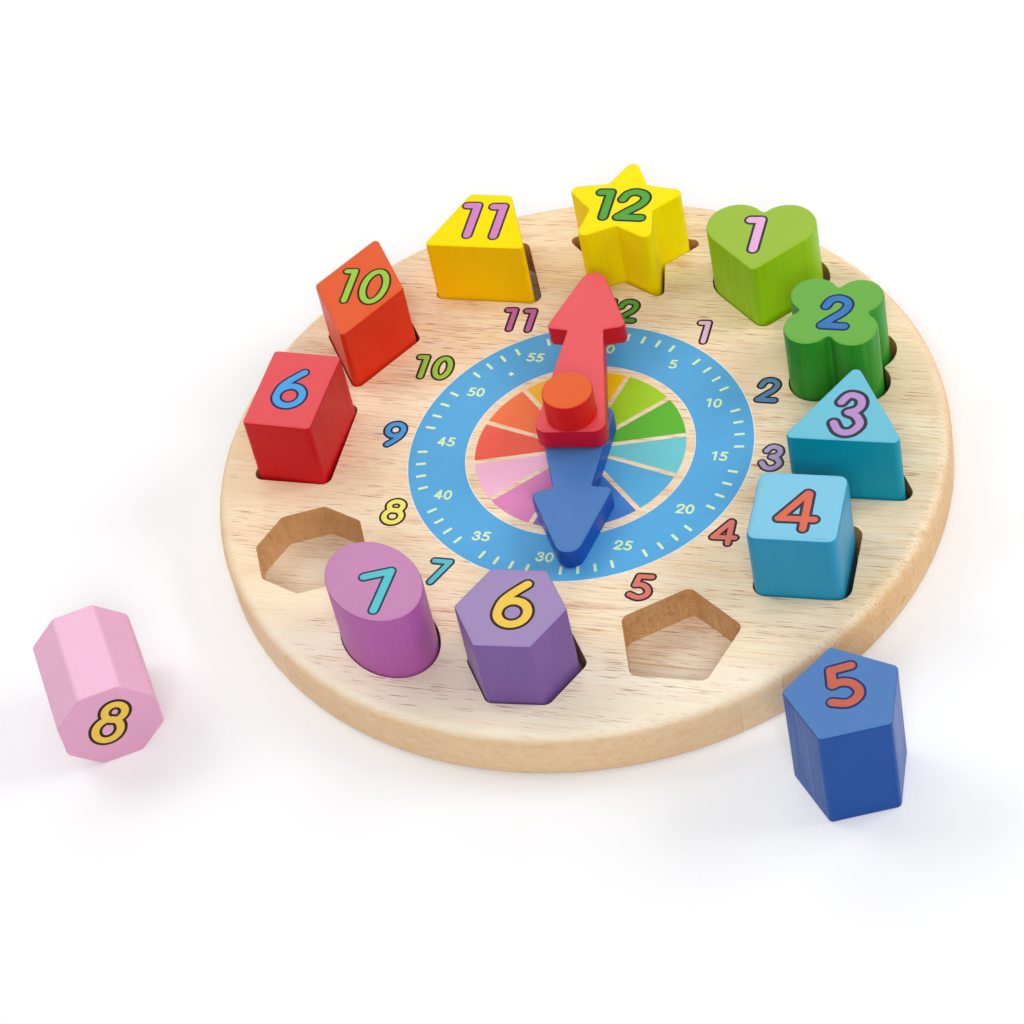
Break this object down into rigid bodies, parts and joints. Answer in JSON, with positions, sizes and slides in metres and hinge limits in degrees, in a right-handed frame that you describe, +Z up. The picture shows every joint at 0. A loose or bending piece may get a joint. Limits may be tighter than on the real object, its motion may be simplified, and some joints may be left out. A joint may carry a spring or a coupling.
{
  "type": "shape sorting clock",
  "caption": "Round wooden clock board with shaped pockets, painted numbered blocks that lift out, and two arrow hands that turn under a knob.",
  "frame": {"origin": "centre of the board's flat underside", "axes": "+Z up through the dial, +Y towards the dial's 12, +X towards its 3"},
  "size_m": [0.3343, 0.3078, 0.054],
  "materials": {
    "board": "satin clear varnish on pale rubberwood",
    "block_12_star": "satin paint",
    "block_1_heart": "satin paint",
    "block_2_quatrefoil": "satin paint",
    "block_3_triangle": "satin paint",
    "block_4_square": "satin paint",
    "block_5_pentagon": "satin paint",
    "block_6_hexagon": "satin paint",
    "block_7_ellipse": "satin paint",
    "block_8_octagon": "satin paint",
    "block_9_rectangle": "satin paint",
    "block_10_rhombus": "satin paint",
    "block_11_trapezoid": "satin paint",
    "hour_hand": "satin paint",
    "minute_hand": "satin paint",
    "pivot_dowel": "bare wood",
    "pivot_knob": "satin paint"
  },
  "bodies": {
    "board": {"board": "board", "pivot_dowel": "pivot_dowel", "pivot_knob": "pivot_knob"},
    "hour_hand": {"hour_hand": "hour_hand"},
    "minute_hand": {"minute_hand": "minute_hand"},
    "block_12_star": {"block_12_star": "block_12_star"},
    "block_1_heart": {"block_1_heart": "block_1_heart"},
    "block_2_quatrefoil": {"block_2_quatrefoil": "block_2_quatrefoil"},
    "block_3_triangle": {"block_3_triangle": "block_3_triangle"},
    "block_4_square": {"block_4_square": "block_4_square"},
    "block_5_pentagon": {"block_5_pentagon": "block_5_pentagon"},
    "block_6_hexagon": {"block_6_hexagon": "block_6_hexagon"},
    "block_7_ellipse": {"block_7_ellipse": "block_7_ellipse"},
    "block_8_octagon": {"block_8_octagon": "block_8_octagon"},
    "block_9_rectangle": {"block_9_rectangle": "block_9_rectangle"},
    "block_10_rhombus": {"block_10_rhombus": "block_10_rhombus"},
    "block_11_trapezoid": {"block_11_trapezoid": "block_11_trapezoid"}
  },
  "joints": [
    {"name": "hour_hand_turn", "type": "hinge", "parent": "board", "child": "hour_hand", "pos_m": [0, 0, 0.026], "axis": [0, 0, 1], "continuous": true},
    {"name": "minute_hand_turn", "type": "hinge", "parent": "board", "child": "minute_hand", "pos_m": [0, 0, 0.0357], "axis": [0, 0, 1], "continuous": true},
    {"name": "block_12_star_lift", "type": "slide", "parent": "board", "child": "block_12_star", "axis": [0, 0, 1], "range_m": [0, 0.06]},
    {"name": "block_1_heart_lift", "type": "slide", "parent": "board", "child": "block_1_heart", "axis": [0, 0, 1], "range_m": [0, 0.06]},
    {"name": "block_2_quatrefoil_lift", "type": "slide", "parent": "board", "child": "block_2_quatrefoil", "axis": [0, 0, 1], "range_m": [0, 0.06]},
    {"name": "block_3_triangle_lift", "type": "slide", "parent": "board", "child": "block_3_triangle", "axis": [0, 0, 1], "range_m": [0, 0.06]},
    {"name": "block_4_square_lift", "type": "slide", "parent": "board", "child": "block_4_square", "axis": [0, 0, 1], "range_m": [0, 0.06]},
    {"name": "block_5_pentagon_lift", "type": "slide", "parent": "board", "child": "block_5_pentagon", "axis": [0, 0, 1], "range_m": [0, 0.06]},
    {"name": "block_6_hexagon_lift", "type": "slide", "parent": "board", "child": "block_6_hexagon", "axis": [0, 0, 1], "range_m": [0, 0.06]},
    {"name": "block_7_ellipse_lift", "type": "slide", "parent": "board", "child": "block_7_ellipse", "axis": [0, 0, 1], "range_m": [0, 0.06]},
    {"name": "block_8_octagon_lift", "type": "slide", "parent": "board", "child": "block_8_octagon", "axis": [0, 0, 1], "range_m": [0, 0.06]},
    {"name": "block_9_rectangle_lift", "type": "slide", "parent": "board", "child": "block_9_rectangle", "axis": [0, 0, 1], "range_m": [0, 0.06]},
    {"name": "block_10_rhombus_lift", "type": "slide", "parent": "board", "child": "block_10_rhombus", "axis": [0, 0, 1], "range_m": [0, 0.06]},
    {"name": "block_11_trapezoid_lift", "type": "slide", "parent": "board", "child": "block_11_trapezoid", "axis": [0, 0, 1], "range_m": [0, 0.06]}
  ]
}
